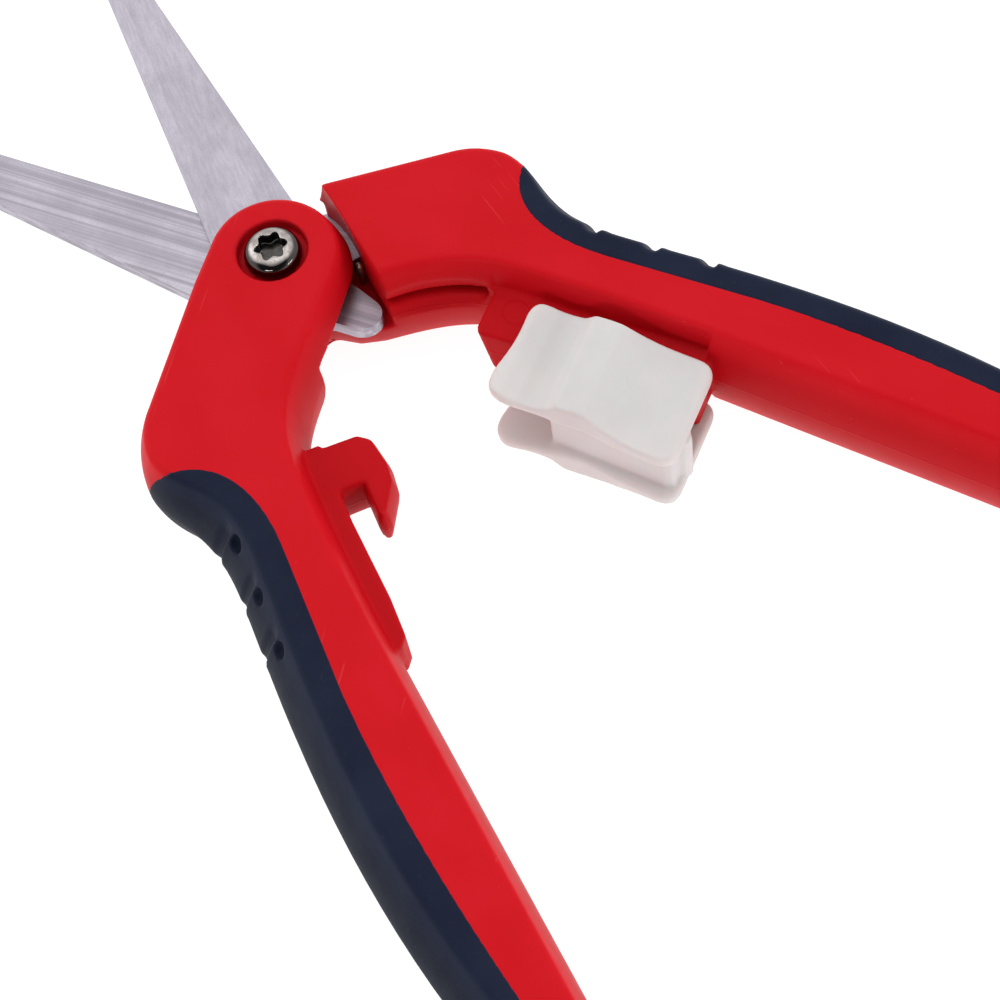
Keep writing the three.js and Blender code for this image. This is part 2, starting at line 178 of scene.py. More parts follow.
def sample(field, cells):
    """Value and slope of the field at fractional cell positions."""
    base = np.clip(np.floor(cells).astype(int), 0, np.array(field.shape) - 2)
    f = cells - base
    corner = [
        [[field[base[:, 0] + i, base[:, 1] + j, base[:, 2] + k] for k in (0, 1)] for j in (0, 1)]
        for i in (0, 1)
    ]
    weight = [[1 - f[:, axis], f[:, axis]] for axis in range(3)]
    value = np.zeros(len(cells))
    slope = np.zeros((len(cells), 3))
    for i in (0, 1):
        for j in (0, 1):
            for k in (0, 1):
                c = corner[i][j][k]
                value += c * weight[0][i] * weight[1][j] * weight[2][k]
                slope[:, 0] += c * (2 * i - 1) * weight[1][j] * weight[2][k]
                slope[:, 1] += c * (2 * j - 1) * weight[0][i] * weight[2][k]
                slope[:, 2] += c * (2 * k - 1) * weight[0][i] * weight[1][j]
    return value, slope


def zero_level(field):
    """Vertices, in cells, and quads of the field's zero level, by surface nets."""
    inside = field < 0
    shape = np.array(field.shape) - 1
    corners = [(i, j, k) for i in (0, 1) for j in (0, 1) for k in (0, 1)]
    filled = sum(
        inside[i : shape[0] + i, j : shape[1] + j, k : shape[2] + k].astype(np.int8)
        for i, j, k in corners
    )
    mixed = (filled > 0) & (filled < 8)
    cells = np.argwhere(mixed)
    index = np.full(mixed.shape, -1, np.int64)
    index[mixed] = np.arange(len(cells))
    total, hits = np.zeros((len(cells), 3)), np.zeros(len(cells))
    for a in corners:
        for b in corners:
            if sum(b) - sum(a) != 1 or sum(abs(p - q) for p, q in zip(a, b)) != 1:
                continue
            fa = field[tuple((cells + a).T)]
            fb = field[tuple((cells + b).T)]
            crossed = (fa < 0) != (fb < 0)
            t = np.where(crossed, fa / np.where(crossed, fa - fb, 1), 0)[:, None]
            point = np.array(a) + t * (np.array(b) - np.array(a))
            total[crossed] += point[crossed]
            hits += crossed
    vertices = cells + total / hits[:, None]
    for _ in range(3):
        value, slope = sample(field, vertices)
        size = np.maximum((slope**2).sum(1), 1e-6)
        move = np.clip(-(value / size)[:, None] * slope, -0.3, 0.3)
        vertices = np.clip(vertices + move, cells - 0.15, cells + 1.15)
    quads = []
    for axis in range(3):
        u, v = (axis + 1) % 3, (axis + 2) % 3
        low = [slice(None)] * 3
        high = [slice(None)] * 3
        low[axis], high[axis] = slice(0, -1), slice(1, None)
        for side in (u, v):
            low[side] = high[side] = slice(1, -1)
        first, second = inside[tuple(low)], inside[tuple(high)]
        for leaving in (True, False):
            edges = np.argwhere((first != second) & (first == leaving))
            edges[:, u] += 1
            edges[:, v] += 1
            around = []
            for du, dv in ((-1, -1), (0, -1), (0, 0), (-1, 0)):
                cell = edges.copy()
                cell[:, u] += du
                cell[:, v] += dv
                around.append(index[tuple(cell.T)])
            quads.append(np.stack(around if leaving else around[::-1], 1))
    return vertices, np.concatenate(quads)


def edge_convexity(field, vertices):
    """How convex the surface is at each vertex, per cell: high on the edges, which the materials
    lighten as rubbed wear and, on the red plastic, also as a painted highlight.
    """
    bend = np.zeros(len(vertices))
    for axis in range(3):
        for way in (-1, 1):
            probe = vertices.copy()
            probe[:, axis] += way
            bend += sample(field, np.clip(probe, 0, np.array(field.shape) - 1.001))[0]
    return np.clip(bend - 6 * sample(field, vertices)[0], 0, 1)


def add_mesh(name, vertices, faces, matrix, body, slot, material, *nodes):
    """A smooth-shaded piece from millimetre vertices in a handle's frame."""
    mesh = bpy.data.meshes.new(name)
    mesh.from_pydata((vertices * MM).tolist(), [], faces)
    placed = matrix.copy()
    placed.translation = placed.translation * MM
    mesh.transform(placed)
    mesh.shade_smooth()
    mesh.validate()
    piece = bpy.data.objects.new(name, mesh)
    bpy.context.scene.collection.objects.link(piece)
    mesh.materials.append(material)
    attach(piece, body)
    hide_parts(*nodes)
    return piece


def mould(name, grid, field, matrix, body, slot, material, *nodes):
    """A piece whose surface is the zero level of a field, with its convex edges marked."""
    vertices, quads = zero_level(field)
    piece = add_mesh(
        name,
        grid.low + vertices * grid.step,
        quads.tolist(),
        matrix,
        body,
        slot,
        material,
        *nodes,
    )
    wear = piece.data.attributes.new("edge", "FLOAT", "POINT")
    wear.data.foreach_set("value", edge_convexity(field, vertices).astype(np.float32))
    return piece


# ---- outlines shared by both handles ----
INNER_SIDE = [(20, 3.2, 24, 6.2, 31, 6.2), (40, 6.2, 49, 5.8, 58.7, 4.9), (110, 0.35)]
TAIL_AND_OUTER_SIDE = [
    (114, 0.1, 116.9, 1.6, 117.3, 4.6),
    (117.7, 7.8, 115.9, 10.3, 112, 11),
    (98, 16.6, 80, 19.5, 62, 20),
    (54, 20.3, 47, 20, 41, 20.1),
    (36, 20.2, 32, 21.2, 28.5, 23.3),
    (26.6, 24.4, 24.8, 25.6, 22.5, 25.9),
    (19, 26, 16.5, 25, 14.2, 23.2),
    (-1, 12.05),
]
LEFT_OUTLINE = path(polar(10, -57.4), (14, -1.8), *INNER_SIDE, *TAIL_AND_OUTER_SIDE)
LEFT_OUTLINE += arc(10, 127.8, 302)
RIGHT_OUTLINE = path(
    polar(8.8, -20.7), (11.2, -2.7), (14.6, -0.9), *INNER_SIDE, *TAIL_AND_OUTER_SIDE
)
RIGHT_OUTLINE += arc(8.8, 127.8, 338)
LIP_UNDERCUT = [(14.2, 23.2), (4, 32), (-14, 13), (-5.4, 6.95)]
CREASE = [(10, -8), (27.2, -8), (27.2, 7), *path((25.9, 6.9), (19, 5.4, 14, -0.2))[1:], (10, -3)]
RIGHT_STEP = [(27.5, -12), (57.5, -12), (57.5, 7), (27.5, 7.2)]
LEFT_STEP = [(27.5, -12), (53.2, -12), (53.2, 3.4), (55.4, 6.3), (48, 7.5), (27.5, 7.5)]
FACE_FOOT = path(
    (-26, 9.8),
    (-9, 10.0),
    (-5, 10.1, -1, 10.7),
    (1.8, 11.1, 4.6, 10.6),
    (7.2, 10.1, 9.2, 8.7),
    (26, 7.8),
)


def grip_region(g, shift):
    """Distance to the outer band that the soft grip fills.

    At mid height it starts nearer the pivot.
    """
    band = path(
        (25.6 + shift, 32),
        (25.6 + shift, 22.5),
        (25.8 + shift, 18.3 + shift, 29.5 + shift, 13 + shift, 41, 12.9 + shift),
        (62, 12.9 + shift),
        (78, 12.4 + shift, 96, 9.5 + shift, 113, 5.6 + shift),
        (122, 3.6 + shift),
        (122, 32),
    )
    lead = 3 * (1 - np.minimum(level(g), 1) ** 1.5) * np.clip((31 - g.x) / 4, 0, 1)
    return g.plan(band) - lead


def level(g):
    """0 at mid height, 1 at both flat faces."""
    return abs(g.z - THICKNESS / 2) / (THICKNESS / 2)


def lap_clearance(g):
    """Everything on the pivot side of the lobe's end face, above the half-lapped head.

    The face is hollow at its foot, where its corner reaches towards the head.
    """
    nx, ny = polar(1, FACE_ANGLE)
    out = g.x * nx + g.y * ny
    sides, distances = zip(*FACE_FOOT)
    foot = np.interp(g.y * nx - g.x * ny, sides, distances)
    share = np.clip((g.z - LAP_TOP) / (THICKNESS - LAP_TOP), 0, 1)
    return meet(out - foot - (FACE_TOP_DISTANCE - foot) * share, HEAD_TOP - g.z, 0.3)


def handle_field(g, outline, step, draft):
    """The parts that both hard handles share. The wall of the step leans by draft."""
    flank = g.plan(outline) + SIDE_INSET * np.minimum(level(g), 1.1) ** SIDE_CURVE
    field = meet(flank, g.slab(0, THICKNESS), 0.65)
    field = cut(field, lap_clearance(g), 0.3)
    field = cut(field, meet(g.plan(LIP_UNDERCUT), g.z - LAP_TOP, 0.1), 0.15)
    step = g.plan(step) + draft * (1 - level(g)) / (1 - PLATE_BOTTOM / 8)
    field = cut(field, meet(step, PLATE_TOP - g.z, 0.5), 0.3)
    field = cut(field, meet(step, g.z - PLATE_BOTTOM, 0.5), 0.3)
    return cut(field, grip_region(g, GRIP_SHIFT), 0.1)


def right_handle_field(g):
    field = handle_field(g, RIGHT_OUTLINE, RIGHT_STEP, 0.3)
    crease = g.plan(CREASE)
    draft = np.interp(g.z, [8, LAP_TOP, THICKNESS], [1.2, 0, 1.4])
    field = cut(field, meet(crease + draft, 7.8 - g.z, 0.1), 0.2)
    slit = meet(crease - 3.6, g.x - 26.8, 0.1)
    field = cut(field, meet(slit, g.slab(LAP_TOP - 0.9, LAP_TOP), 0.05), 0.05)
    rail = g.plan([(26, 9), (26, -0.3), (40, -0.2), (57.5, 0.3), (57.5, 9)])
    below = PLATE_TOP - g.z
    rail = meet(rail - 0.09 * below, 28 + 0.27 * below - g.x, 0.9)
    field = join(field, meet(rail, g.slab(PLATE_BOTTOM, PLATE_TOP), 0.35), 0.5)
    groove = g.plan([(37.6, 1.8), (54.4, 1.8), (54.4, 4.2), (37.6, 4.2)])
    field = cut(field, meet(groove, PLATE_TOP - 1.5 - g.z, 0.2), 0.2)
    field = cut(field, meet(groove, g.z - PLATE_BOTTOM - 1.5, 0.2), 0.2)
    field = cut(field, g.rod(2.7, -2, HEAD_TOP + 2, 0.1), 0.2)
    hexagon = [polar(4.9, 60 * i) for i in range(6)]
    field = cut(field, g.prism(hexagon, -2, 3.5, 0.2), 0.25)
    ring = abs(np.hypot(g.x, g.y) - COIL_RADIUS) - 0.95
    return cut(field, meet(ring, g.slab(1, HEAD_TOP + 2), 0.2), 0.1)


def left_handle_field(g):
    field = handle_field(g, LEFT_OUTLINE, LEFT_STEP, 1.8)
    wall = [(27, 9), (27, 4), (34.6, 4), (39, 4), (50.4, 3.4), (55.9, 3.5), (57.2, 4.5), (57.5, 9)]
    finger = [(27, 6), (27.3, -0.9), (28.7, -2.5), (33, -3.2), (35.6, -2.9), (39.7, -0.5)]
    finger += [(40.1, 0.4), (39.4, 1.1), (34.8, 1.1), (34.8, 6)]
    plate = join(g.plan(wall), g.plan(finger) + 0.045 * (g.z - 8) ** 2, 0.3)
    plate = meet(plate, g.slab(PLATE_BOTTOM, PLATE_TOP), 0.35)
    field = join(field, plate, 0.5)
    field = cut(field, g.rod(2.7, -2, HEAD_TOP + 2, 0.1), 0.2)
    return cut(field, g.rod(4.65, -2, SEAT_DEPTH, 0.15), 0.22)


def grip_field(g, outline, notches, depth, width, fade_end, dimple_heights):
    """Soft outer band, a hair proud of the hard handle, with three finger notches.

    A notch falls gently and ends in a steep wall. It fades out towards the flat faces, at
    fade_end. Beside its end may lie a dimple.
    """
    height = np.minimum(level(g), 1.1)
    soft = np.clip((g.x - 25) / 9, 0, 1)
    soft = soft * soft * (3 - 2 * soft)
    flank = g.plan(outline) + (1 - soft) * SIDE_INSET * height**SIDE_CURVE
    flank = flank + soft * GRIP_INSET * height**GRIP_CURVE - GRIP_PROUD
    fade = depth * np.clip((fade_end - height) / 0.2, 0, 1)
    for x in notches:
        places = (-width, -0.5 * width, 0.2, 0.5, 1.5)
        flank = flank + fade * np.interp(g.x - x - 0.9, places, (0, 0.9, 1, -0.15, 0))
    field = meet(flank, g.slab(-GRIP_PROUD, THICKNESS + GRIP_PROUD), 0.6)
    field = meet(field, grip_region(g, 0), 0.16)
    past, y = DIMPLE_PLACE
    for x in notches:
        for z in dimple_heights:
            away = np.sqrt((g.x - x - past) ** 2 + (g.y - y) ** 2 + (g.z - z) ** 2)
            field = cut(field, away - DIMPLE_RADIUS, 0.15)
    return field


def latch_field(g):
    """Two waved thumb plates, the web that joins them and the ribs that ride in the rail."""
    side = path(
        (32.6, 13.2),
        (33.2, 14.8, 35.4, 14.7),
        (38.6, 13.3, 41.5, 14.3),
        (43, 15.7),
        (45, 16.0, 46.8, 15.85),
        (49.4, 14.8),
        (53.5, 13.5, 58.6, 13.8),
        (59.6, 13.4, 59.4, 12.4),
        (58.9, 11.8),
        (42.6, 11.8),
        (41.4, 12.4, 39.6, 12.4),
        (33.6, 12.7),
        steps=8,
    )
    plan = path(
        (36.6, -9.8),
        (46.5, -9.7),
        (49, -10.2, 51, -10.6),
        (56.4, -11.2),
        (59.1, -11.4, 59.2, -8.7),
        (59.4, 1.2),
        (59.4, 3.8, 56.6, 4),
        (36.9, 5),
        (34.3, 5, 34.4, 2.3),
        (34.7, -1.6, 33.6, -5.2),
        (32.4, -9.6, 36.6, -9.8),
        steps=8,
    )
    footprint = g.plan(plan)
    field = meet(g.side(side), footprint, 0.55)
    turned = [(x, THICKNESS - z) for x, z in side]
    field = np.minimum(field, meet(g.side(turned), footprint, 0.55))
    web = [(41.2, -7.9), (41.8, -8.3), (57.2, -9.6), (58.2, -9.2), (58.6, -6.6), (57.9, -5.2)]
    web += [(56.4, -5), (54.6, -5.6), (53, -7.1), (41.5, -7.1)]
    field = join(field, g.prism(web, 3.9, 12.1, 0.15), 0.45)
    post = np.hypot(g.x - 58.5, g.y + 6.4) - 1.15
    field = join(field, meet(post, g.slab(3.9, 12.1), 0.15), 0.3)
    rib = g.plan([(44, 2.2), (54, 2.2), (54, 3.8), (44, 3.8)])
    for z0, z1 in ((PLATE_TOP - 1.1, 12.4), (3.6, PLATE_BOTTOM + 1.1)):
        field = join(field, meet(rib, g.slab(z0, z1), 0.2), 0.2)
    return field


def screw_field(g):
    """Button head with a rounded rim and a six-lobe socket, and the top of its shank."""
    radius = np.hypot(g.x, g.y)
    half = path(
        (0, 17),
        (2.1, 16.98),
        (3.0, 16.9, 3.45, 16.3),
        (3.8, 15.8, 3.8, 14.9),
        (3.6, 14.5),
        (2.5, 14.5),
        (2.5, 12.4),
        steps=8,
    )
    head = outline_distance(radius, g.z, half + [(-r, z) for r, z in half[:0:-1]])
    lobes = radius - 1.92 - 0.28 * np.cos(6 * np.arctan2(g.y, g.x))
    return cut(head, meet(lobes * 0.85, 15.35 - g.z, 0.15), 0.1)


def nut_field(g):
    hexagon = g.plan([polar(4.6, 60 * i) for i in range(6)])
    field = meet(hexagon, g.slab(0, 3.2), 0.15)
    cone = np.hypot(g.x, g.y) - 4.15 - g.z
    field = meet(field, cone * 0.7, 0.12)
    return cut(field, g.rod(2.2, 0.8, 6, 0.1), 0.15)


# ---- wire ----
def tube(points, radius, sides=16):
    """Vertices and faces of a round wire with rounded ends along a line of points."""
    points = np.array(points, float)
    tangents = np.gradient(points, axis=0)
    tangents /= np.linalg.norm(tangents, axis=1)[:, None]
    across = np.cross(tangents[0], (0.3, 0.2, 0.9))
    rings = []
    last = len(points) - 1
    ends = [(0, -1, s) for s in (0.05, 0.5, 0.85)]
    ends = ends + [(i, 0, 1) for i in range(len(points))]
    ends = ends + [(last, 1, s) for s in (0.85, 0.5, 0.05)]
    for i, way, share in ends:
        tangent = tangents[i]
        across = across - tangent * (across @ tangent)
        across /= np.linalg.norm(across)
        up = np.cross(tangent, across)
        middle = points[i] + tangent * way * radius * math.sqrt(1 - share * share)
        turn = 2 * math.pi * np.arange(sides) / sides
        rings.append(
            middle
            + radius * share * (np.outer(np.cos(turn), across) + np.outer(np.sin(turn), up))
        )
    vertices = np.concatenate(rings)
    faces = []
    for ring in range(len(rings) - 1):
        for side in range(sides):
            after = (side + 1) % sides
            low, high = ring * sides, (ring + 1) * sides
            faces.append([low + side, low + after, high + after, high + side])
    first = list(range(sides))[::-1]
    final = [len(vertices) - sides + side for side in range(sides)]
    return vertices, faces + [first, final]


def leg_points(degrees, z, top, inner):
    """A leg that leaves the coil, bends up in a small curve and ends in its blade's notch."""
    direction = np.array([*polar(1, degrees), 0])
    reach, bend = LEG_REACH, 0.9
    line = [direction * r for r in np.linspace(inner, reach - bend, 6)]
    for turn in np.linspace(0.15, 1, 7) * math.pi / 2:
        line.append(
            direction * (reach - bend + bend * math.sin(turn))
            + np.array([0, 0, bend * (1 - math.cos(turn))])
        )
    line = [p + np.array([0, 0, z]) for p in line]
    line += [direction * reach + np.array([0, 0, h]) for h in np.linspace(z + bend + 0.3, top, 5)]
    return line


def coil_points():
    """The coil, and its fixed leg in front of it."""
    leg = leg_points(FIXED_LEG_ANGLE, COIL_START_Z, 9.4, COIL_RADIUS + 0.8)[::-1]
    turns = []
    for t in np.linspace(0, 1, 150):
        angle = FIXED_LEG_ANGLE + t * COIL_TURN
        turns.append((*polar(COIL_RADIUS, angle), COIL_START_Z + t * COIL_TURN * COIL_PITCH / 360))
    return leg + turns


# ---- materials ----
class Look:
    """A Principled material that is put together node by node."""

    def __init__(self, name, **sockets):
        self.material = bpy.data.materials.new(name)
        self.material.use_nodes = True
        self.tree = self.material.node_tree
        self.shader = self.tree.nodes["Principled BSDF"]
        for key, value in sockets.items():
            self.shader.inputs[key.replace("_", " ")].default_value = value
        self.place = self.node("ShaderNodeTexCoord").outputs["Object"]
        self.height = None

    def node(self, kind, settings=None, **sockets):
        made = self.tree.nodes.new(kind)
        for key, value in (settings or {}).items():
            setattr(made, key, value)
        for key, value in sockets.items():
            socket = made.inputs[int(key[1:]) if key[1:].isdigit() else key.replace("_", " ")]
            if isinstance(value, bpy.types.NodeSocket):
                self.tree.links.new(value, socket)
            else:
                socket.default_value = value
        return made

    def math(self, operation, a, b=0.0, c=0.0, clamp=False):
        settings = {"operation": operation, "use_clamp": clamp}
        return self.node("ShaderNodeMath", settings, _0=a, _1=b, _2=c).outputs[0]

    def turned(self, degrees=0.0, stretch=(1, 1, 1)):
        """Object position turned about Z, then scaled on each axis."""
        spun = self.node("ShaderNodeVectorRotate", Vector=self.place, Angle=math.radians(degrees))
        scaled = self.node("ShaderNodeVectorMath", {"operation": "MULTIPLY"}, _0=spun.outputs[0])
        scaled.inputs[1].default_value = stretch
        return scaled.outputs[0]

    def noise(self, size_mm, detail=3.0, rough=0.55, where=None):
        """Noise from 0 to 1 with blotches of about this size."""
        made = self.node(
            "ShaderNodeTexNoise",
            Vector=where or self.place,
            Scale=1000.0 / size_mm,
            Detail=detail,
            Roughness=rough,
        )
        return made.outputs["Fac"]

    def ramp(self, value, low, high, out_low=0.0, out_high=1.0):
        made = self.node(
            "ShaderNodeMapRange",
            {"interpolation_type": "SMOOTHSTEP"},
            Value=value,
            From_Min=low,
            From_Max=high,
            To_Min=out_low,
            To_Max=out_high,
        )
        return made.outputs[0]

    def mix(self, share, a, b):
        made = self.node("ShaderNodeMix", {"data_type": "RGBA"}, _0=share)
        for socket, value in ((made.inputs[6], a), (made.inputs[7], b)):
            if isinstance(value, bpy.types.NodeSocket):
                self.tree.links.new(value, socket)
            else:
                socket.default_value = (*value, 1)
        return made.outputs[2]

    def from_middle(self):
        """Height above or below the middle of the handles' thickness."""
        height = self.node("ShaderNodeSeparateXYZ", Vector=self.place).outputs[2]
        return self.math("ABSOLUTE", self.math("SUBTRACT", height, THICKNESS / 2 * MM))

    def convex_edges(self):
        return self.node("ShaderNodeAttribute", {"attribute_name": "edge"}).outputs["Fac"]

    def bump(self, height, depth_mm, strength=1.0):
        """Adds relief of this depth where height goes from 0 to 1."""
        made = self.node(
            "ShaderNodeBump", Height=height, Strength=strength, Distance=depth_mm * MM
        )
        if self.height is not None:
            self.tree.links.new(self.height, made.inputs["Normal"])
        self.height = made.outputs[0]

    def finish(self, color, roughness):
        self.tree.links.new(color, self.shader.inputs["Base Color"])
        self.tree.links.new(roughness, self.shader.inputs["Roughness"])
        if self.height is not None:
            self.tree.links.new(self.height, self.shader.inputs["Normal"])
        return self.material


def moulded_red(name, angle):
    """Satin red plastic, with painted shade that darkens its flanks towards mid height.

    It has a fine moulded grain, a parting line, faint flow marks, hairlines and rubbed edges; the
    lighter edges are also a painted highlight.
    """
    look = Look(name, Specular_IOR_Level=0.06)
    cloudy = look.ramp(look.noise(14, 3), 0.3, 0.7)
    flow = look.noise(5, 2, where=look.turned(-angle, (0.25, 1, 1)))
    color = look.mix(cloudy, (0.645, 0.007, 0.014), (0.68, 0.009, 0.018))
    color = look.mix(look.ramp(flow, 0.35, 0.75, 0, 0.25), color, (0.61, 0.002, 0.008))
    # Painted shade: the flanks are coloured darker towards mid height, where the flat faces give
    # way to the sides.
    side = look.ramp(look.from_middle(), 0.0036, 0.0074, 0.5, 0)
    color = look.mix(side, color, (0.44, 0.001, 0.004))
    # Lighter convex edges: partly rubbed wear, partly a painted highlight along the rounded edges.
    edge = look.ramp(look.convex_edges(), 0.25, 0.65, 0, 0.4)
    color = look.mix(edge, color, (0.80, 0.04, 0.045))
    specks = look.ramp(look.noise(0.5, 1), 0.76, 0.80, 0, 0.25)
    color = look.mix(specks, color, (0.78, 0.08, 0.08))
    hairs = look.noise(0.7, 1, where=look.turned(-angle + 35, (0.045, 1.6, 1)))
    handled = look.ramp(look.noise(9, 1), 0.55, 0.65)
    hairs = look.math("MULTIPLY", look.ramp(hairs, 0.71, 0.74), handled)
    color = look.mix(look.math("MULTIPLY", hairs, 0.25), color, (0.78, 0.09, 0.09))
    roughness = look.math("MULTIPLY_ADD", look.noise(2.5, 4), 0.16, 0.36)
    roughness = look.math("ADD", roughness, look.math("MULTIPLY", hairs, 0.2))
    look.bump(look.noise(0.35, 2), 0.012)
    look.bump(look.noise(9, 1), 0.08)
    look.bump(look.ramp(look.from_middle(), 0.00005, 0.00022, 1, 0), 0.04)
    look.bump(gate_ring(look), 0.05)
    return look.finish(color, roughness)


def gate_ring(look):
    """Plain moulding ring on top of the right handle's rail, as height from 0 to 1."""
    flat = look.node("ShaderNodeVectorMath", {"operation": "MULTIPLY"}, _0=look.place)
    flat.inputs[1].default_value = (1, 1, 0)
    reach = look.node("ShaderNodeVectorMath", {"operation": "DISTANCE"}, _0=flat.outputs[0])
    reach.inputs[1].default_value = (0.0279, 0.0159, 0)
    line = look.math("ABSOLUTE", look.math("SUBTRACT", reach.outputs["Value"], 0.0017))
    height = look.node("ShaderNodeSeparateXYZ", Vector=look.place).outputs[2]
    on_rail = look.ramp(height, 0.0110, 0.0112)
    return look.math("MULTIPLY", look.ramp(line, 0.00008, 0.00022, 1, 0), on_rail)


def soft_navy(name):
    """Soft-touch rubber: matte, finely grained, with painted shade on its flanks towards mid
    height, a little dusty.
    """
    look = Look(name, Specular_IOR_Level=0.08, Sheen_Weight=0.015, Sheen_Roughness=0.5)
    cloudy = look.ramp(look.noise(11, 3), 0.3, 0.7)
    color = look.mix(cloudy, (0.009, 0.013, 0.034), (0.013, 0.019, 0.043))
    # Painted shade: the flanks are coloured darker towards mid height.
    side = look.ramp(look.from_middle(), 0.0036, 0.0074, 0.8, 0)
    color = look.mix(side, color, (0.003, 0.006, 0.017))
    dust = look.ramp(look.noise(0.6, 2), 0.62, 0.78, 0, 0.2)
    color = look.mix(dust, color, (0.04, 0.05, 0.072))
    edge = look.ramp(look.convex_edges(), 0.15, 0.5, 0, 0.55)
    color = look.mix(edge, color, (0.05, 0.062, 0.09))
    roughness = look.math("MULTIPLY_ADD", look.noise(3, 4), 0.18, 0.48)
    look.bump(look.noise(0.28, 2), 0.018)
    look.bump(look.noise(6, 2), 0.07)
    return look.finish(color, roughness)


def matte_white(name):
    """White moulded plastic with a spark-eroded texture and faint handling marks."""
    look = Look(name, Specular_IOR_Level=0.3, Subsurface_Weight=0.5, Subsurface_Scale=0.0022)
    look.shader.inputs["Subsurface Radius"].default_value = (1.0, 0.62, 0.5)
    cloudy = look.ramp(look.noise(8, 3), 0.3, 0.7)
    color = look.mix(cloudy, (0.70, 0.685, 0.68), (0.74, 0.725, 0.72))
    marks = look.noise(1.2, 2, where=look.turned(20, (0.1, 1, 1)))
    color = look.mix(look.ramp(marks, 0.66, 0.74, 0, 0.2), color, (0.62, 0.60, 0.57))
    edge = look.ramp(look.convex_edges(), 0.12, 0.5, 0, 0.3)
    color = look.mix(edge, color, (0.84, 0.83, 0.82))
    roughness = look.math("MULTIPLY_ADD", look.noise(1.5, 3), 0.15, 0.42)
    look.bump(look.noise(0.22, 2), 0.01)
    look.bump(look.noise(5, 1), 0.06)
    return look.finish(color, roughness)


def ground_steel(name, angle, line_mm, stretch, contrast):
    """Blade steel with fine grinding lines along its edge, a cloudy polish and dark specks."""
    look = Look(name, Metallic=1.0, Specular_IOR_Level=0.5)
    lines = look.noise(line_mm, 2, 0.6, where=look.turned(-angle, (stretch, 1, 1)))
    grain = look.noise(0.32, 3, 0.7)
    cloudy = look.noise(6, 4)
    color = look.mix(look.ramp(cloudy, 0.3, 0.7), (0.46, 0.43, 0.50), (0.56, 0.53, 0.60))
    shade = look.ramp(lines, 0.35, 0.65, 0, contrast)
    color = look.mix(shade, color, (0.30, 0.28, 0.33))
    color = look.mix(look.ramp(grain, 0.35, 0.75, 0, 0.3), color, (0.36, 0.33, 0.37))
    specks = look.ramp(look.noise(0.3, 1), 0.72, 0.77, 0, 0.4)
    color = look.mix(specks, color, (0.22, 0.19, 0.18))
    roughness = look.math("MULTIPLY_ADD", lines, 0.18, 0.27)
    roughness = look.math("ADD", roughness, look.math("MULTIPLY", grain, 0.15))
    look.bump(lines, 0.012)
    look.bump(grain, 0.008)
    return look.finish(color, roughness)


def plated(name, socket_top=None):
    """Grey plating over a turned surface, mottled and pitted.

    With the height of a socket's top given, the socket gets painted shade, and the rim a painted
    dark reflection and a polish.
    """
    look = Look(name, Metallic=1.0)
    cloudy = look.ramp(look.noise(0.9, 4), 0.35, 0.7)
    color = look.mix(cloudy, (0.36, 0.32, 0.30), (0.56, 0.52, 0.50))
    pits = look.ramp(look.noise(0.28, 2), 0.62, 0.74, 0, 0.6)
    color = look.mix(pits, color, (0.20, 0.15, 0.12))
    roughness = look.math("MULTIPLY_ADD", look.noise(0.7, 4), 0.2, 0.1)
    if socket_top:
        parts = look.node("ShaderNodeSeparateXYZ", Vector=look.place).outputs
        squares = [look.math("MULTIPLY", parts[i], parts[i]) for i in (0, 1)]
        radius = look.math("SQRT", look.math("ADD", *squares))
        # Painted shade: inside the socket, below its top, the plating is coloured near black.
        deep = look.ramp(parts[2], socket_top - 0.0001, socket_top - 0.0005)
        painted_socket_shade = look.math("MULTIPLY", deep, look.ramp(radius, 0.0023, 0.0024, 1, 0))
        color = look.mix(look.math("MULTIPLY", painted_socket_shade, 0.85), color, (0.03, 0.028, 0.028))
        # Painted reflection: the rim is coloured near black, standing for dark surroundings
        # mirrored in it; it is also made smoother.
        painted_dark_rim = look.ramp(radius, 0.0026, 0.0031)
        color = look.mix(look.math("MULTIPLY", painted_dark_rim, 0.9), color, (0.035, 0.03, 0.03))
        shine = look.math("MULTIPLY_ADD", painted_dark_rim, -0.75, 1.0)
        roughness = look.math("MULTIPLY", roughness, shine)
    look.bump(look.noise(0.3, 2), 0.006)
    return look.finish(color, roughness)


def spring_wire(name):
    """Drawn wire with a brassy tint, dull in places."""
    look = Look(name, Metallic=1.0)
    cloudy = look.ramp(look.noise(1.5, 3), 0.3, 0.7)
    color = look.mix(cloudy, (0.34, 0.27, 0.17), (0.50, 0.43, 0.31))
    roughness = look.math("MULTIPLY_ADD", look.noise(0.6, 3), 0.25, 0.25)
    look.bump(look.noise(0.2, 2), 0.008)
    return look.finish(color, roughness)


def paper_floor(name):
    look = Look(name, Emission_Strength=0.95, Specular_IOR_Level=0.05)
    look.shader.inputs["Emission Color"].default_value = (1, 1, 1, 1)
    color = look.mix(look.ramp(look.noise(60, 2), 0.3, 0.7), (0.21, 0.21, 0.21), (0.23, 0.23, 0.23))
    roughness = look.math("MULTIPLY_ADD", look.noise(4, 3), 0.1, 0.88)
    look.bump(look.noise(1.2, 3), 0.005)
    return look.finish(color, roughness)


# ---- pieces ----
def build_handle(side, matrix, angle, field_of, outline, grip):
    """The hard handle of one side, then its soft grip."""
    step = 0.34
    body = f"{side}_side"
    red = moulded_red(f"{side}_red_plastic", angle)
    g = Grid((-11, -11, -1), (119, 28, THICKNESS + 1), step)
    field = field_of(g)
    name, node = f"{side}_handle_shell", f"{side}_handle"
    mould(name, g, field, matrix, body, "handle_plastic", red, node)
    navy = soft_navy(f"{side}_navy_rubber")
    g = Grid((21, 2, -1), (119, 27.5, THICKNESS + 1), step * 0.8)
    field = grip_field(g, outline, **grip)
    name, node = f"{side}_grip_skin", f"{side}_grip"
    mould(name, g, field, matrix, body, "grip_rubber", navy, node)


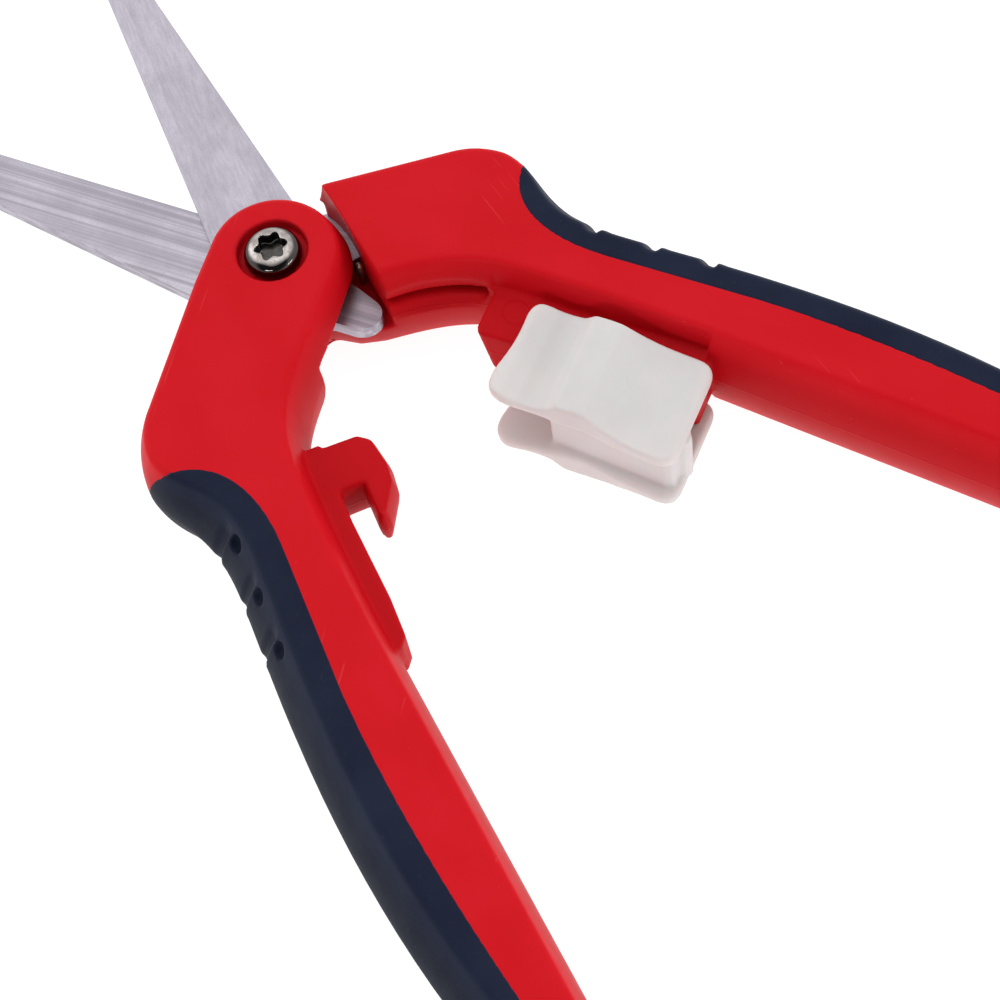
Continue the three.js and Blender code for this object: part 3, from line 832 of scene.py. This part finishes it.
def build_steel():
    for side, angle, grind in (
        ("right", HALF_OPENING, (0.55, 0.006, 0.75)),
        ("left", -HALF_OPENING, (0.4, 0.15, 0.25)),
    ):
        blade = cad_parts[f"{side}_blade"]
        blade.data.materials.clear()
        blade.data.materials.append(ground_steel(f"{side}_ground_steel", angle, *grind))
        bevel = blade.modifiers.new("soft_edges", "BEVEL")
        bevel.width = 0.12 * MM
        bevel.segments = 3
        bevel.limit_method = "ANGLE"
        bevel.angle_limit = math.radians(25)
        bevel.harden_normals = True
    g = Grid((-4.2, -4.2, 12), (4.2, 4.2, 17.4), 0.09)
    plating = plated("screw_plating", socket_top=0.017)
    field, upright = screw_field(g), Matrix.Identity(4)
    mould("screw_head", g, field, upright, "right_side", "screw_steel", plating, "pivot_screw")
    g = Grid((-5, -5, -0.4), (5, 5, 3.6), 0.12)
    plating = plated("nut_plating")
    mould("hex_nut", g, nut_field(g), RIGHT, "right_side", "screw_steel", plating, "pivot_nut")
    wire = spring_wire("drawn_wire")
    moving = leg_points(MOVING_LEG_ANGLE, COIL_END_Z, 9.6, COIL_RADIUS)
    for name, points, body, node in (
        ("return_spring", coil_points(), "right_side", "spring_coil"),
        ("return_spring_leg", moving, "left_side", "spring_leg"),
    ):
        vertices, faces = tube(points, WIRE_RADIUS)
        add_mesh(name, vertices, faces, RIGHT, body, "spring_steel", wire, node)


def build_latch():
    g = Grid((31.5, -12.5, -0.5), (61, 6.5, THICKNESS + 0.5), 0.25)
    white = matte_white("white_plastic")
    mould("thumb_latch", g, latch_field(g), RIGHT, "latch_body", "latch_plastic", white, "latch")


# ---- studio ----
def area_light(name, place, aim, size, power):
    data = bpy.data.lights.new(name, "AREA")
    data.shape = "RECTANGLE"
    data.size, data.size_y = size
    data.energy = power
    light = bpy.data.objects.new(name, data)
    light.location = place
    light.rotation_mode = "QUATERNION"
    light.rotation_quaternion = (Vector(aim) - Vector(place)).to_track_quat("-Z", "Y")
    bpy.context.scene.collection.objects.link(light)


def build_world(scene):
    """An even white room with one dim side, which gives the bright metal something dark to show."""
    world = bpy.data.worlds.new("studio")
    world.use_nodes = True
    tree = world.node_tree
    background = tree.nodes["Background"]
    background.inputs["Strength"].default_value = 1.0
    direction = tree.nodes.new("ShaderNodeTexCoord")
    dim_side = tree.nodes.new("ShaderNodeVectorMath")
    dim_side.operation = "DOT_PRODUCT"
    dim_side.inputs[1].default_value = Vector((0.45, -0.5, 0.74)).normalized()
    tree.links.new(direction.outputs["Generated"], dim_side.inputs[0])
    shade = tree.nodes.new("ShaderNodeMapRange")
    shade.interpolation_type = "SMOOTHSTEP"
    shade.inputs["From Min"].default_value = 0.5
    shade.inputs["From Max"].default_value = 0.8
    shade.inputs["To Min"].default_value = 1.0
    shade.inputs["To Max"].default_value = 0.08
    tree.links.new(dim_side.outputs["Value"], shade.inputs["Value"])
    tree.links.new(shade.outputs[0], background.inputs["Color"])
    scene.world = world


def build_studio():
    scene = bpy.context.scene
    half = 1.5
    mesh = bpy.data.meshes.new("floor")
    corners = [(-half, -half, 0), (half, -half, 0), (half, half, 0), (-half, half, 0)]
    mesh.from_pydata(corners, [], [(0, 1, 2, 3)])
    mesh.materials.append(paper_floor("floor_paper"))
    floor = bpy.data.objects.new("floor", mesh)
    scene.collection.objects.link(floor)

    build_world(scene)
    middle = (0, 0, 0)
    area_light("top_soft", (0, 0, 1.0), middle, (1.0, 1.0), 2.0)
    area_light("side_key", (-0.75, -0.3, 0.6), middle, (0.8, 0.8), 1.5)
    area_light("front_left", (0.42, -0.72, 0.32), middle, (0.4, 0.08), 1.5)
    area_light("front_right", (0.83, 0.35, 0.3), middle, (0.4, 0.08), 1.5)

    lens = bpy.data.cameras.new("camera")
    lens.lens, lens.sensor_width = 81.45, 36
    lens.clip_start, lens.clip_end = 0.01, 10
    camera = bpy.data.objects.new("camera", lens)
    camera.location = (0.15531, -0.07968, 0.25274)
    camera.rotation_mode = "QUATERNION"
    camera.rotation_quaternion = Quaternion((0.89828, 0.20759, 0.13777, 0.36196))
    scene.collection.objects.link(camera)
    scene.camera = camera
    scene.view_settings.view_transform = "Standard"


build_handle("right", RIGHT, HALF_OPENING, right_handle_field, RIGHT_OUTLINE, RIGHT_GRIP)
build_handle("left", LEFT, -HALF_OPENING, left_handle_field, LEFT_OUTLINE, LEFT_GRIP)
build_steel()
build_latch()
build_studio()

bpy.context.view_layer.update()
